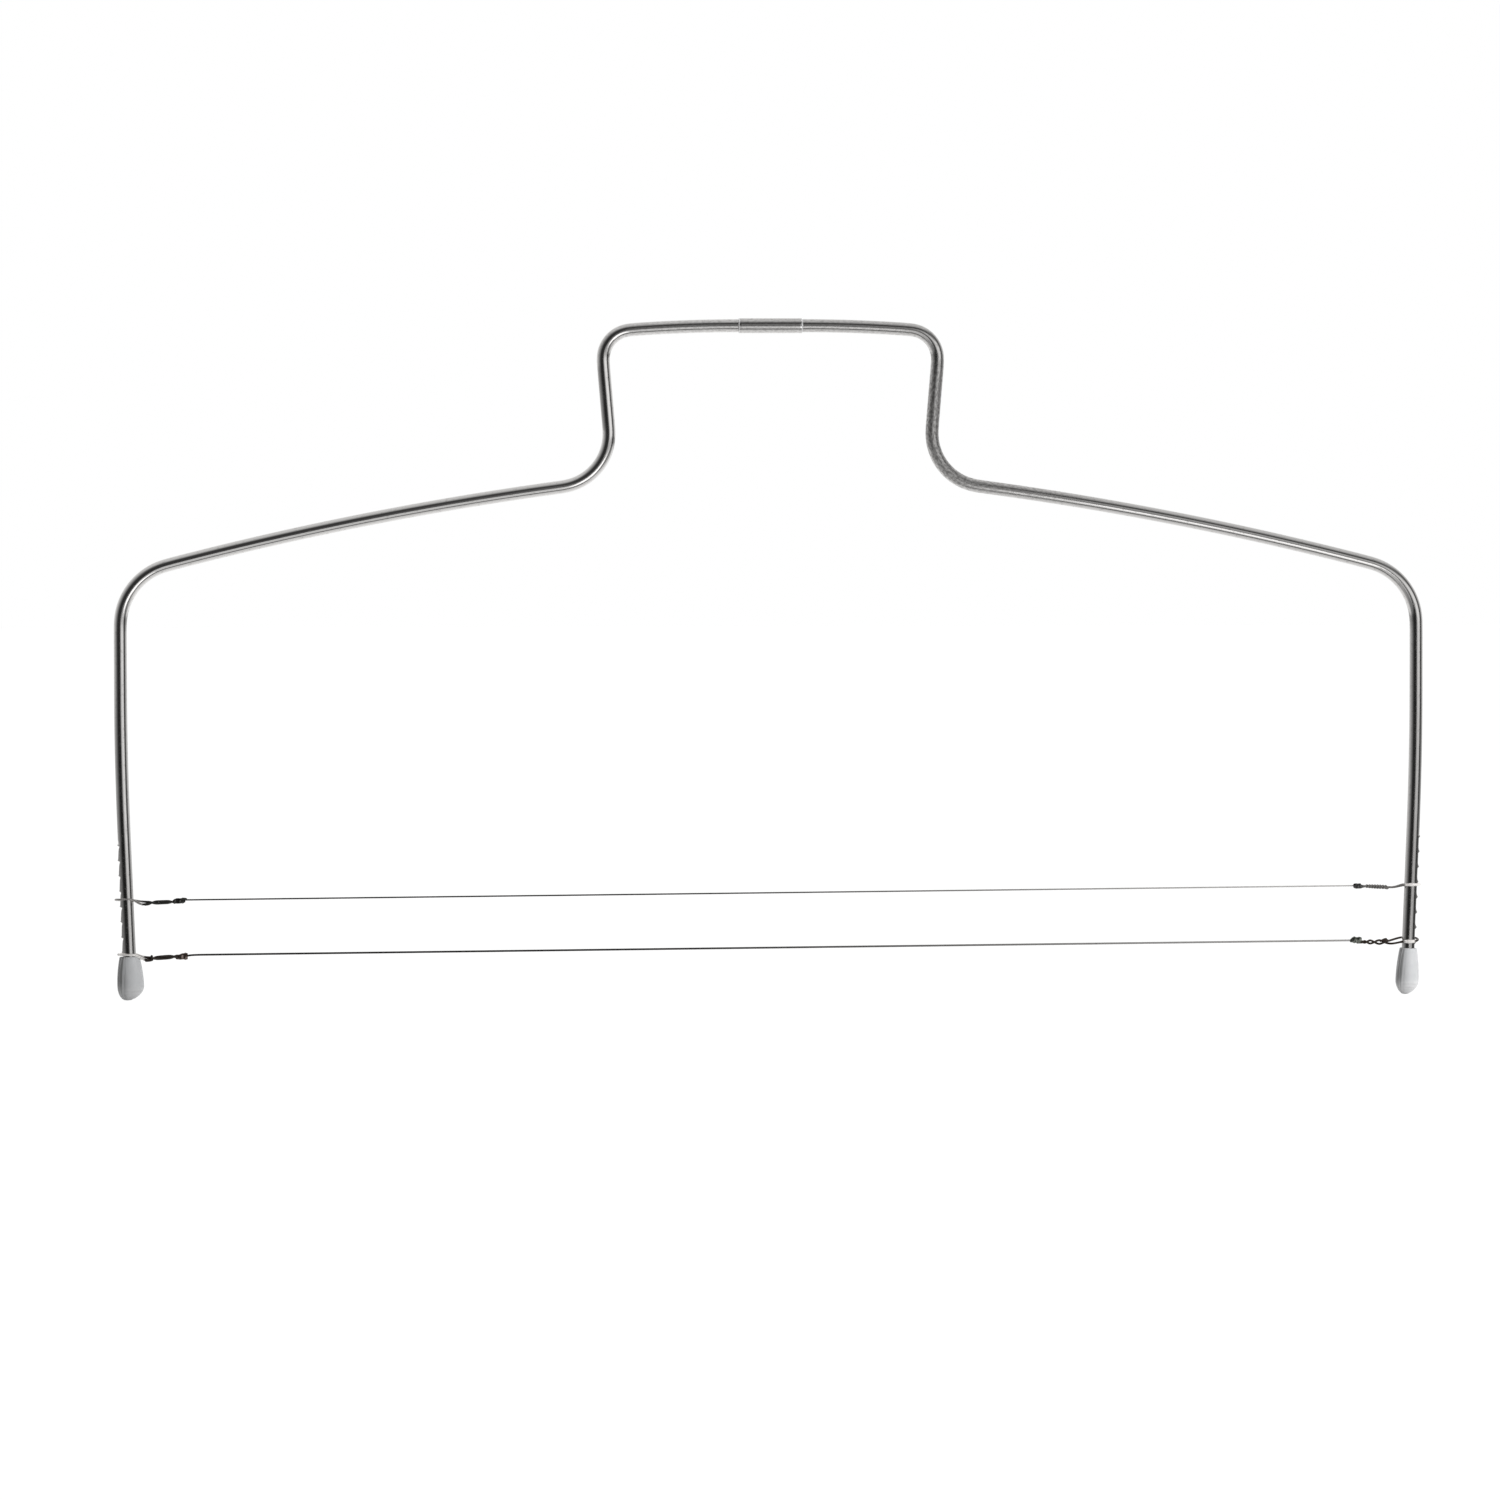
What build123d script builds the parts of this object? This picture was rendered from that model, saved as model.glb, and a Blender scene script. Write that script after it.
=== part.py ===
from build123d import *
from collections import namedtuple
import math
import os

os.makedirs("parts", exist_ok=True)

# Cake leveler: a bent steel rod frame with two height-adjustable cutting wires.
# Frame of the part: X to the right, Y to the back, Z up, in millimetres.
# The origin lies on the table, midway between the two feet.

# Frame, as driving sizes
overall_width = 330.0  # outside the legs, where they are widest
overall_height = 171.0  # table to the top of the joining sleeve
rod_diameter = 3.3
grip_clear_width = 81.0  # inside the grip, between its uprights
grip_drop = 40.4  # grip bar down to the start of the shoulders
grip_corner_radius = 7.25  # bend radii are to the rod's centreline
grip_foot_radius = 13.4
leg_corner_radius = 15.5
bar_arch_turn = 4.2  # how far the grip bar has dipped at its corners, in degrees
upright_lean = 4.8  # uprights of the grip lean together towards their feet
shoulder_start_slope = 7.6
shoulder_end_slope = 14.6
leg_lean = 2.5  # the pull of the wires bows the legs together
leg_upright_share = 0.32  # part of the leg above its straight foot that stays upright

# Sleeve that joins the two halves of the frame
sleeve_length = 16.1
sleeve_diameter = 3.75
sleeve_edge = 0.2  # rounding of the sleeve's rims
spigot_diameter = 2.6  # rod ends are turned down to this inside the sleeve
butt_gap = 0.1  # left between the two rod ends

# Notches that hold the wires at a height
notch_count = 8
notch_pitch = 3.85
notch_depth = 0.4
notch_step = 0.6  # height of the steep upper face
notch_ramp = 1.3  # height of the gentle lower face
lowest_notch = 11.5  # floor of the left leg's lowest notch above the table
right_notch_lift = 1.2  # the right leg's notches stand this much higher
straight_above_notches = 3.0

# End caps that the frame stands on
cap_height = 11.0
cap_width = 6.7
cap_depth = 5.8
cap_mouth_width = 4.9
cap_belly_height = 3.0  # widest place above the table
cap_foot_width = 2.6  # small flat that rests on the table
cap_floor = 1.8  # plastic under the end of the rod
cap_rim = 0.25
rod_end_chamfer = 0.3

# Cutting wires and the hangers that tie them to the legs
wire_diameter = 0.28
strand_diameter = 0.4
loop_clearance = 0.2  # between a hanger's loop and the rod, all round
loop_open_angle = 75.0  # where the loop leaves its circle, from the span's direction
strand_gap = 0.5  # between the two strands of a twist
twist_start = 5.2  # from the leg's axis towards the span
twist_end = 11.2
ferrule_start = 11.6
ferrule_length = 3.0
ferrule_height = 1.7
ferrule_depth = 1.2
ferrule_edge = 0.15
strand_grip = 1.2  # how far the shorter strand reaches into its ferrule
wire_grip = 1.0  # how far a cutting wire reaches into its ferrule
wire_bore_depth = 1.5
wire_bore_clearance = 0.05
wire_drop = 0.25  # wire bore below the middle of the ferrule
tail_length = 0.5  # end of the longer strand past the ferrule

overrun = 1.0  # every cut passes its faces by this much

# How finely the hangers' wire is drawn and measured
loop_steps = 3  # pairs of arcs round the leg
twist_steps_per_turn = 4
straight_within = 0.01  # a bend of fewer degrees than this is drawn as a line
parallel_within = 1e-9
samples_per_diameter = 4
own_neighbours = 4  # strand diameters along the wire that don't count as another stretch of it

# Each hanger: its side, its wire and the notch that holds it. Then heights as shares of the
# notch pitch: its loop above the notch's floor, its twist and its ferrule above its loop. The
# tilt is the rise of its loop towards the front. Turns are minus for a left-handed twist.
Hanger = namedtuple("Hanger", "side wire notch seat twist ferrule tilt turns")
hanger_shares = {
    "upper_left": Hanger("left", "upper", 4, -0.42, -0.23, -0.10, 0.10, -0.75),
    "upper_right": Hanger("right", "upper", 4, -0.13, -0.15, -0.05, 0.0, -1.75),
    "lower_left": Hanger("left", "lower", 0, 0.0, -0.26, -0.14, 0.0, 1.25),
    "lower_right": Hanger("right", "lower", 0, 0.13, 0.0, 0.10, -0.30, 1.25),
}

# Sizes that follow from these
rod_radius = rod_diameter / 2
bar_height = overall_height - sleeve_diameter / 2
half_span = overall_width / 2 - rod_radius
sleeve_half = sleeve_length / 2
loop_radius = rod_radius + loop_clearance + strand_diameter / 2
pair_radius = (strand_diameter + strand_gap) / 2
notch_heights = {"left": lowest_notch, "right": lowest_notch + right_notch_lift}
straight_top = notch_heights["right"] + (notch_count - 1) * notch_pitch + straight_above_notches

# Each half is drawn on its own plane, with local x outwards and local y upwards
side_planes = {
    "left": Plane(origin=(0, 0, 0), x_dir=(-1, 0, 0), z_dir=(0, 1, 0)),
    "right": Plane.XZ,
}
outward = {"left": -1, "right": 1}


def rise(radius, start_slope, end_slope):
    """Height between two places of an arc, given their slopes in degrees."""
    return radius * abs(math.cos(math.radians(start_slope)) - math.cos(math.radians(end_slope)))


def reach(radius, start_slope, end_slope):
    """Level distance between two places of an arc, given their slopes in degrees."""
    return radius * abs(math.sin(math.radians(start_slope)) - math.sin(math.radians(end_slope)))


# Centreline of one half, from the middle of the grip bar down to the end of the leg
upright_slope = 90 + upright_lean
corner_x = grip_clear_width / 2 + rod_radius
arch_end_x = corner_x - reach(grip_corner_radius, bar_arch_turn, 90)
arch_radius = (arch_end_x - sleeve_half) / math.sin(math.radians(bar_arch_turn))
upright_fall = (
    grip_drop
    - rise(arch_radius, 0, bar_arch_turn)
    - rise(grip_corner_radius, bar_arch_turn, upright_slope)
    - rise(grip_foot_radius, upright_slope, shoulder_start_slope)
)
upright_length = upright_fall / math.cos(math.radians(upright_lean))
shoulder_start_x = (
    corner_x
    - reach(grip_corner_radius, 90, upright_slope)
    - upright_length * math.sin(math.radians(upright_lean))
    + reach(grip_foot_radius, upright_slope, shoulder_start_slope)
)
shoulder_end_x = half_span - reach(leg_corner_radius, shoulder_end_slope, 90)
shoulder_run = shoulder_end_x - shoulder_start_x
shoulder_radius = shoulder_run / (
    math.sin(math.radians(shoulder_end_slope)) - math.sin(math.radians(shoulder_start_slope))
)
leg_top = (
    bar_height
    - grip_drop
    - rise(shoulder_radius, shoulder_start_slope, shoulder_end_slope)
    - rise(leg_corner_radius, shoulder_end_slope, 90)
)
bow_top = leg_top - (leg_top - straight_top) * leg_upright_share
bow_radius = (bow_top - straight_top) / math.sin(math.radians(leg_lean))
straight_top_x = half_span - bow_radius * (1 - math.cos(math.radians(leg_lean)))


def leg_x(height):
    """Distance of the leg's centreline from the middle, on its straight lower part."""
    return straight_top_x - (straight_top - height) * math.tan(math.radians(leg_lean))


def leg_plane(side, height):
    """Plane on the leg's axis at a height: local x outwards, local y up along the leg."""
    sign = outward[side]
    lean = math.radians(leg_lean)
    return Plane(
        origin=(sign * leg_x(height), 0, height),
        x_dir=(sign * math.cos(lean), 0, -math.sin(lean)),
        z_dir=(0, -sign, 0),
    )


def frame_rod(side):
    """One half of the frame: a bent rod with a spigot at its top and notches on its leg."""
    with BuildPart() as rod:
        with BuildLine(side_planes[side]) as centreline:
            turn = outward[side]
            bar = Line((butt_gap / 2, bar_height), (sleeve_half, bar_height))
            arch = JernArc(bar @ 1, bar % 1, arch_radius, -bar_arch_turn)
            corner = JernArc(arch @ 1, arch % 1, grip_corner_radius, bar_arch_turn - upright_slope)
            upright = Line(corner @ 1, corner @ 1 + (corner % 1) * upright_length)
            foot_turn = upright_slope - shoulder_start_slope
            foot = JernArc(upright @ 1, upright % 1, grip_foot_radius, foot_turn)
            shoulder_turn = shoulder_start_slope - shoulder_end_slope
            shoulder = JernArc(foot @ 1, foot % 1, shoulder_radius, shoulder_turn)
            bend = JernArc(shoulder @ 1, shoulder % 1, leg_corner_radius, shoulder_end_slope - 90)
            leg = Line(bend @ 1, bend @ 1 + (bend % 1) * (leg_top - bow_top))
            bow = JernArc(leg @ 1, leg % 1, bow_radius, -leg_lean)
            Line(bow @ 1, Vector(turn * leg_x(cap_floor), 0, cap_floor))
        with BuildSketch(Plane(origin=bar @ 0, z_dir=bar % 0)):
            Circle(rod_radius)
        sweep()
        chamfer(rod.faces().sort_by(Axis.Z)[0].edges(), rod_end_chamfer)

        # The spigot that enters the sleeve
        with BuildSketch(Plane.YZ):
            with Locations((0, bar_height)):
                Circle(rod_radius + overrun)
                Circle(spigot_diameter / 2, mode=Mode.SUBTRACT)
        extrude(amount=turn * sleeve_half, mode=Mode.SUBTRACT)

        # Saw-tooth notches on the outside of the leg, each steep above and gentle below
        floor_places = [
            (rod_radius - notch_depth, index * notch_pitch / math.cos(math.radians(leg_lean)))
            for index in range(notch_count)
        ]
        cut_share = (notch_depth + overrun) / notch_depth
        with BuildSketch(leg_plane(side, notch_heights[side])):
            with Locations(*floor_places):
                Polygon(
                    (0, 0),
                    (notch_depth + overrun, -notch_ramp * cut_share),
                    (notch_depth + overrun, notch_step * cut_share),
                    align=None,
                )
        extrude(amount=rod_diameter, both=True, mode=Mode.SUBTRACT)
    return rod.part


def end_cap(side, width, depth):
    """Plastic foot pushed onto the end of a leg: a drop with an oval section and a flat base."""
    belly, mouth, flat = width / 2, width * cap_mouth_width / cap_width / 2, cap_foot_width / 2
    axis_plane = leg_plane(side, 0)
    bottom_centre = (belly**2 - flat**2 - cap_belly_height**2) / (2 * (belly - flat))
    bottom_radius = belly - bottom_centre
    bottom = cap_belly_height - math.sqrt(bottom_radius**2 - bottom_centre**2)
    with BuildPart() as cap:
        with BuildSketch(axis_plane) as half_section:
            with BuildLine():
                TangentArc((belly, cap_belly_height), (0, bottom), tangent=(0, -1))
                side_line = TangentArc((belly, cap_belly_height), (mouth, cap_height), tangent=(0, 1))
                Polyline(side_line @ 1, (0, cap_height), (0, bottom))
            make_face()
            rim = half_section.vertices().group_by(Axis.Y)[-1].sort_by(Axis.X)[-1]
            fillet(rim, cap_rim)
        revolve(axis=Axis(axis_plane.origin, axis_plane.y_dir))
        scale(by=(1, depth / width, 1))
        split(bisect_by=Plane.XY, keep=Keep.TOP)
        with BuildSketch(Plane(leg_plane(side, cap_floor).origin, z_dir=axis_plane.y_dir)):
            Circle(rod_radius)
        extrude(amount=cap_height, mode=Mode.SUBTRACT)
    return cap.part


# Where each hanger's loop stands on its leg, and where its ferrule begins
loop_places = {}
ferrule_places = {}
for name, own in hanger_shares.items():
    height = notch_heights[own.side] + (own.notch + own.seat) * notch_pitch
    loop_places[name] = Vector(outward[own.side] * leg_x(height), 0, height)
    inward = Vector(-outward[own.side] * ferrule_start, 0, own.ferrule * notch_pitch)
    ferrule_places[name] = loop_places[name] + inward


def span_plane(name, origin):
    """Plane with local x along the cutting wire towards the span, and local z up."""
    own = hanger_shares[name]
    across = ferrule_places[f"{own.wire}_right"] - ferrule_places[f"{own.wire}_left"]
    along = across.normalized() * -outward[own.side]
    up = across.cross(Vector(0, 1, 0)).normalized()
    return Plane(origin=origin, x_dir=along, z_dir=up)


def biarc(start, start_tangent, end, end_tangent):
    """Two arcs that leave one place and reach another along the given tangents."""
    chord = end - start
    both = start_tangent + end_tangent
    square = 2 * (1 - start_tangent.dot(end_tangent))
    linear = 2 * chord.dot(both)
    if square < parallel_within:
        handle = chord.dot(chord) / linear
    else:
        handle = (math.sqrt(linear**2 + 4 * square * chord.dot(chord)) - linear) / (2 * square)
    near = start + start_tangent * handle
    far = end - end_tangent * handle
    middle = (near + far) / 2
    direction = (far - near).normalized()
    for place, tangent, goal in ((start, start_tangent, middle), (middle, direction, end)):
        if (goal - place).get_angle(tangent) < straight_within:
            Line(place, goal)
        else:
            TangentArc(place, goal, tangent=tangent)


def twist_stations(name, strand):
    """Places and tangents on one strand of a twist, a quarter turn apart, from the leg inwards.

    The pair's angle and the height of its middle ease in and out along the twist: at a share s
    of its length they have gone 3s² - 2s³ of their way, which is solved here for s.
    """
    own = hanger_shares[name]
    start_rise = own.twist * notch_pitch
    end_rise = span_plane(name, loop_places[name]).to_local_coords(ferrule_places[name]).Z
    length = twist_end - twist_start
    steps = round(abs(own.turns) * twist_steps_per_turn)
    stations = []
    for step in range(steps + 1):
        eased = step / steps
        share = 0.5 - math.sin(math.asin(1 - 2 * eased) / 3)
        rate = 6 * share * (1 - share) / length
        angle = 2 * math.pi * own.turns * eased + strand * math.pi
        middle = start_rise + (end_rise - start_rise) * eased
        place = Vector(
            twist_start + share * length,
            pair_radius * math.cos(angle),
            middle + pair_radius * math.sin(angle),
        )
        swing = 2 * math.pi * own.turns * rate * pair_radius
        tangent = Vector(
            1,
            -swing * math.sin(angle),
            (end_rise - start_rise) * rate + swing * math.cos(angle),
        )
        stations.append((place, tangent.normalized()))
    return stations


def loop_stations(name):
    """Places and tangents round the leg: a level circle, sheared where the loop hangs aslant."""
    shear = outward[hanger_shares[name].side] * hanger_shares[name].tilt
    stations = []
    for step in range(loop_steps + 1):
        angle = math.radians(loop_open_angle + (360 - 2 * loop_open_angle) * step / loop_steps)
        across, depth = loop_radius * math.cos(angle), loop_radius * math.sin(angle)
        tangent = Vector(-math.sin(angle), math.cos(angle), shear * math.cos(angle))
        stations.append((Vector(across, depth, shear * depth), tangent.normalized()))
    return stations


def hanger_wire(name):
    """One unbroken wire: out of the ferrule, along the twist, round the leg and back."""
    plane = span_plane(name, loop_places[name])
    first, second = twist_stations(name, 0), twist_stations(name, 1)
    ferrule_x = plane.to_local_coords(ferrule_places[name]).X
    tail_x = ferrule_x + ferrule_length + tail_length
    grip_x = ferrule_x + strand_grip
    stations = [(Vector(tail_x, first[-1][0].Y, first[-1][0].Z), Vector(-1, 0, 0))]
    stations += [(place, -tangent) for place, tangent in reversed(first)]
    stations += loop_stations(name)
    stations += second
    stations += [(Vector(grip_x, second[-1][0].Y, second[-1][0].Z), Vector(1, 0, 0))]
    origin = plane.from_local_coords(Vector(0, 0, 0))
    placed = [
        (plane.from_local_coords(place), plane.from_local_coords(tangent) - origin)
        for place, tangent in stations
    ]
    with BuildPart() as hanger:
        with BuildLine() as strand:
            for (start, start_tangent), (end, end_tangent) in zip(placed, placed[1:]):
                biarc(start, start_tangent, end, end_tangent)
        with BuildSketch(Plane(origin=placed[0][0], z_dir=placed[0][1])):
            Circle(strand_diameter / 2)
        sweep()
    report_strand(name, strand.line, hanger.part)
    return hanger.part


def report_strand(name, line, solid):
    """Print how far a hanger's wire keeps from itself, its tightest bend and its volume."""
    edges = line.edges()
    length = sum(edge.length for edge in edges)
    radii = [edge.radius for edge in edges.filter_by(GeomType.CIRCLE)]
    places = []
    travelled = 0
    for edge in edges:
        count = math.ceil(edge.length / strand_diameter * samples_per_diameter)
        for step in range(count):
            places.append((travelled + edge.length * step / count, edge @ (step / count)))
        travelled += edge.length
    least = min(
        (place - other).length
        for index, (along, place) in enumerate(places)
        for further, other in places[index + 1:]
        if further - along > own_neighbours * strand_diameter
    )
    section = math.pi * strand_diameter**2 / 4
    print(
        f"{name}_hanger: length {length:.2f}, tightest bend {min(radii):.2f}, "
        f"least gap to itself {least - strand_diameter:.3f}, "
        f"volume over section times length {solid.volume / (section * length):.4f}"
    )


def crimp_ferrule(name):
    """Oval sleeve with a lane for each strand of its hanger and one for the cutting wire."""
    span = span_plane(name, ferrule_places[name])
    face = Plane(origin=span.origin, x_dir=span.z_dir, z_dir=span.x_dir)
    with BuildPart() as ferrule:
        with BuildSketch(face):
            SlotOverall(ferrule_height, ferrule_depth)
        extrude(amount=ferrule_length)
        ends = ferrule.faces().sort_by(Axis(face.origin, face.z_dir))
        fillet(ends[0].edges() + ends[-1].edges(), ferrule_edge)
        with BuildSketch(face):
            with Locations((pair_radius, 0)):
                Circle(strand_diameter / 2)
        extrude(amount=ferrule_length, mode=Mode.SUBTRACT)
        with BuildSketch(face):
            with Locations((-pair_radius, 0)):
                Circle(strand_diameter / 2)
        extrude(amount=strand_grip, mode=Mode.SUBTRACT)
        with BuildSketch(face.offset(ferrule_length)):
            with Locations((-wire_drop, 0)):
                Circle(wire_diameter / 2 + wire_bore_clearance)
        extrude(amount=-wire_bore_depth, mode=Mode.SUBTRACT)
    return ferrule.part


def cutting_wire(wire):
    """Straight thin wire between the bores of its two ferrules."""
    ends = []
    for side in ("left", "right"):
        span = span_plane(f"{wire}_{side}", ferrule_places[f"{wire}_{side}"])
        ends.append(span.from_local_coords(Vector(ferrule_length - wire_grip, 0, -wire_drop)))
    with BuildPart() as straight_wire:
        with BuildSketch(Plane(origin=ends[0], z_dir=ends[1] - ends[0])):
            Circle(wire_diameter / 2)
        extrude(amount=(ends[1] - ends[0]).length)
    return straight_wire.part


with BuildPart() as joining_sleeve:
    with BuildSketch(Plane.YZ):
        with Locations((0, bar_height)):
            Circle(sleeve_diameter / 2)
    extrude(amount=sleeve_half, both=True)
    fillet(joining_sleeve.edges().filter_by(GeomType.CIRCLE), sleeve_edge)
    with BuildSketch(Plane.YZ):
        with Locations((0, bar_height)):
            Circle(spigot_diameter / 2)
    extrude(amount=sleeve_half, both=True, mode=Mode.SUBTRACT)

pieces = {"joining_sleeve": joining_sleeve.part}
for side, width, depth in (("left", cap_width, cap_depth), ("right", cap_depth, cap_width)):
    pieces[f"{side}_frame_rod"] = frame_rod(side)
    pieces[f"{side}_end_cap"] = end_cap(side, width, depth)
for wire in ("upper", "lower"):
    pieces[f"{wire}_cutting_wire"] = cutting_wire(wire)
for name in hanger_shares:
    pieces[f"{name}_hanger"] = hanger_wire(name)
    pieces[f"{name}_ferrule"] = crimp_ferrule(name)

for name, piece in pieces.items():
    piece.label = name
    export_step(piece, f"parts/{name}.step")
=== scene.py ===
# %% [markdown]
# # A cake leveler
# A cake leveler is a bow of bent steel rod with two thin wires stretched between its legs. The
# legs have saw-tooth notches, and each wire is hung in one of them, so that it cuts the cake at
# that height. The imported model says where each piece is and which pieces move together. Its
# pieces could be dressed as they are, but the fine twists, burrs and crimps are too small for
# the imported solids, so each is made again here with numpy, in the same place.

# %% Load the frame
import math

import bpy
import numpy as np
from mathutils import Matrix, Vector


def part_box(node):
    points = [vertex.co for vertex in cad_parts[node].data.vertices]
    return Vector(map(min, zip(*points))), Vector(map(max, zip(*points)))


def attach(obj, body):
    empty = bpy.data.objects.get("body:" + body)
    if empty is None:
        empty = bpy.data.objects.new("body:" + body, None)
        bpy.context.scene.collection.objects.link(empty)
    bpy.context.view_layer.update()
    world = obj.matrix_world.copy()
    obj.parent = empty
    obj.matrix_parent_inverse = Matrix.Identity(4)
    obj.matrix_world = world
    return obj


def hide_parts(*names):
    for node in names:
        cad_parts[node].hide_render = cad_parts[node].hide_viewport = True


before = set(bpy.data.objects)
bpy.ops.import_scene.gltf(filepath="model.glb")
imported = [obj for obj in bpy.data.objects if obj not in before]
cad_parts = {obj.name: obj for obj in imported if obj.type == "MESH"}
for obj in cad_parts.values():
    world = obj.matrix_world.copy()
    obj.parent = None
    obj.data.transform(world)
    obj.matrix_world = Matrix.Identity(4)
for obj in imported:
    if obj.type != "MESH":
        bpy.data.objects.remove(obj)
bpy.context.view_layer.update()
mm = 0.001

# %% [markdown]
# ## Surfaces from grids
# Nearly every piece of this tool is long and round: a rod, a strand, a sleeve. Blender could
# make them from curves with a bevel, but a grid of points gives control of every ring, which
# the notches and crimps need, and it brings a UV map in real lengths along and around, which
# the drawn finish of the steel follows.

# %% Skin a grid of rings
def skin(rings, along, around, closed_along=False):
    """Vertices, faces and UV corners of a surface through rings[i, j].

    Each ring is closed. Neighbouring rings are joined by four-sided faces, and the first and
    last ring are filled, or joined to each other where closed_along is set. The enclosed volume
    is the sum of a . (b x c) / 6 over its triangles, and is negative for a surface that is
    inside out, which is then turned round.
    """
    rows, columns = rings.shape[:2]
    row, column = np.meshgrid(np.arange(rows - 1 + closed_along), np.arange(columns), indexing="ij")
    corner_row = row[..., None] + np.array([0, 0, 1, 1])
    corner_column = column[..., None] + np.array([0, 1, 1, 0])
    quads = (corner_row % rows * columns + corner_column % columns).reshape(-1, 4)
    corners = np.stack([along[corner_row % rows], around[corner_column]], -1).reshape(-1, 4, 2)
    vertices = rings.reshape(-1, 3)
    a, b, c, d = (vertices[quads[:, k]] for k in range(4))
    volume = (np.cross(b, c) * a).sum() / 6 + (np.cross(c, d) * a).sum() / 6
    faces, uvs = list(quads), list(corners)
    if not closed_along:
        for ring, order in ((0, slice(None, None, -1)), (rows - 1, slice(None))):
            faces.append((ring * columns + np.arange(columns))[order])
            uvs.append(np.stack([np.full(columns, along[ring]), around[:-1]], -1)[order])
    if volume < 0:
        faces, uvs = [face[::-1] for face in faces], [uv[::-1] for uv in uvs]
    return vertices, faces, uvs


# %% Put skins into a piece
crease_angle = math.radians(38)


def put_in_scene(name, data):
    """A new object in the scene for a mesh, a lamp or a camera."""
    made = bpy.data.objects.new(name, data)
    bpy.context.scene.collection.objects.link(made)
    return made


def make_piece(name, skins, body, stands_for, finish):
    """One object from several skins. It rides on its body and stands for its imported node."""
    vertices, faces, uvs = [], [], []
    for skin_vertices, skin_faces, skin_uvs in skins:
        first = sum(len(part) for part in vertices)
        vertices.append(skin_vertices)
        faces += [(face + first).tolist() for face in skin_faces]
        uvs += skin_uvs
    mesh = bpy.data.meshes.new(name)
    mesh.from_pydata(np.concatenate(vertices), [], faces)
    uv_map = mesh.uv_layers.new(name="along_and_around")
    uv_map.data.foreach_set("uv", np.concatenate(uvs).astype(np.float32).ravel())
    mesh.polygons.foreach_set("use_smooth", np.ones(len(mesh.polygons), bool))
    mesh.set_sharp_from_angle(angle=crease_angle)
    mesh.materials.append(finish)
    piece = put_in_scene(name, mesh)
    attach(piece, body)
    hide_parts(stands_for)
    points = np.concatenate(vertices) / mm
    print(name, len(mesh.polygons), "faces, mm", points.min(0).round(2), points.max(0).round(2))


# %% [markdown]
# ## Finishes
# A finish is a node tree. Written node by node it is hard to read, so a socket is wrapped in a
# small class, and sums and products of such values add the Math nodes. Any other node is added
# by one method.

# %% A tree that is written as sums
class Value:
    """A socket in a tree, which can be added, taken away, multiplied or kept above a floor."""

    def __init__(self, tree, socket):
        self.tree, self.socket = tree, socket

    def maths(self, operation, *terms):
        return self.tree.node("ShaderNodeMath", {"operation": operation}, dict(enumerate(terms)))

    def __abs__(self):
        return self.maths("ABSOLUTE", self)

    def __add__(self, other):
        return self.maths("ADD", self, other)

    def __sub__(self, other):
        return self.maths("SUBTRACT", self, other)

    def __rsub__(self, other):
        return self.maths("SUBTRACT", other, self)

    def __mul__(self, other):
        return self.maths("MULTIPLY", self, other)

    def at_least(self, other):
        return self.maths("MAXIMUM", self, other)

    __radd__, __rmul__ = __add__, __mul__


class Tree:
    """The nodes of one material or of the world."""

    def __init__(self, owner):
        owner.use_nodes = True
        self.owner = owner
        self.nodes, self.links = owner.node_tree.nodes, owner.node_tree.links
        self.nodes.clear()

    def node(self, kind, settings, inputs, output=0):
        """Add a node: its settings first, then the values or links of its sockets."""
        made = self.nodes.new(kind)
        for name, setting in settings.items():
            setattr(made, name, setting)
        for name, value in inputs.items():
            if isinstance(value, Value):
                self.links.new(value.socket, made.inputs[name])
            else:
                made.inputs[name].default_value = value
        return Value(self, made.outputs[output]) if made.outputs else made

    def blend(self, factor, first, second):
        """A colour that goes from the first to the second as the factor goes from 0 to 1."""
        colours = {0: factor, 6: first, 7: second}
        return self.node("ShaderNodeMix", {"data_type": "RGBA"}, colours, 2)

    def step(self, value, start, end):
        """0 below start and 1 above end, with a smooth rise between."""
        inputs = {"Value": value, "From Min": start, "From Max": end}
        return self.node("ShaderNodeMapRange", {"interpolation_type": "SMOOTHSTEP"}, inputs)

    def fall(self, value, start, end):
        """1 below start and 0 above end, with a smooth fall between."""
        return 1 - self.step(value, start, end)

    def band(self, value, start, full, fading, end):
        """1 from full to fading, and 0 below start and above end."""
        return self.step(value, start, full) * self.fall(value, fading, end)

    def noise(self, place, scale, detail=2.0):
        """Clouds of 0 to 1 round 0.5, as many to a length of 1 as the scale says."""
        inputs = {"Vector": place, "Scale": scale, "Detail": detail}
        return self.node("ShaderNodeTexNoise", {}, inputs)

    def place(self):
        """Place in the frame, in metres, as every piece's object sits at the origin."""
        return self.node("ShaderNodeTexCoord", {}, {}, "Object")

    def parts(self, vector):
        """The three parts of a vector."""
        split = self.node("ShaderNodeSeparateXYZ", {}, {0: vector}).socket.node
        return [Value(self, socket) for socket in split.outputs]

    def lengths(self):
        """Lengths along and around the piece, in metres, from its UV map."""
        return self.node("ShaderNodeUVMap", {"uv_map": "along_and_around"}, {})

    def surface_noise(self, length, width, detail=2.0):
        """Noise in patches so long and so wide, along and around a piece."""
        patches = {0: self.lengths(), 1: (1 / length, 1 / width, 0)}
        return self.noise(self.node("ShaderNodeVectorMath", {"operation": "MULTIPLY"}, patches), 1.0, detail)

    def finish(self, look, height, depth):
        """The last nodes of every material: its look and a fine relief so deep. Gives the material."""
        bump = {"Height": height, "Strength": 0.6, "Distance": depth}
        relief = self.node("ShaderNodeBump", {}, bump)
        surface = self.node("ShaderNodeBsdfPrincipled", {}, look | {"Normal": relief})
        self.node("ShaderNodeOutputMaterial", {}, {"Surface": surface})
        return self.owner


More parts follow.
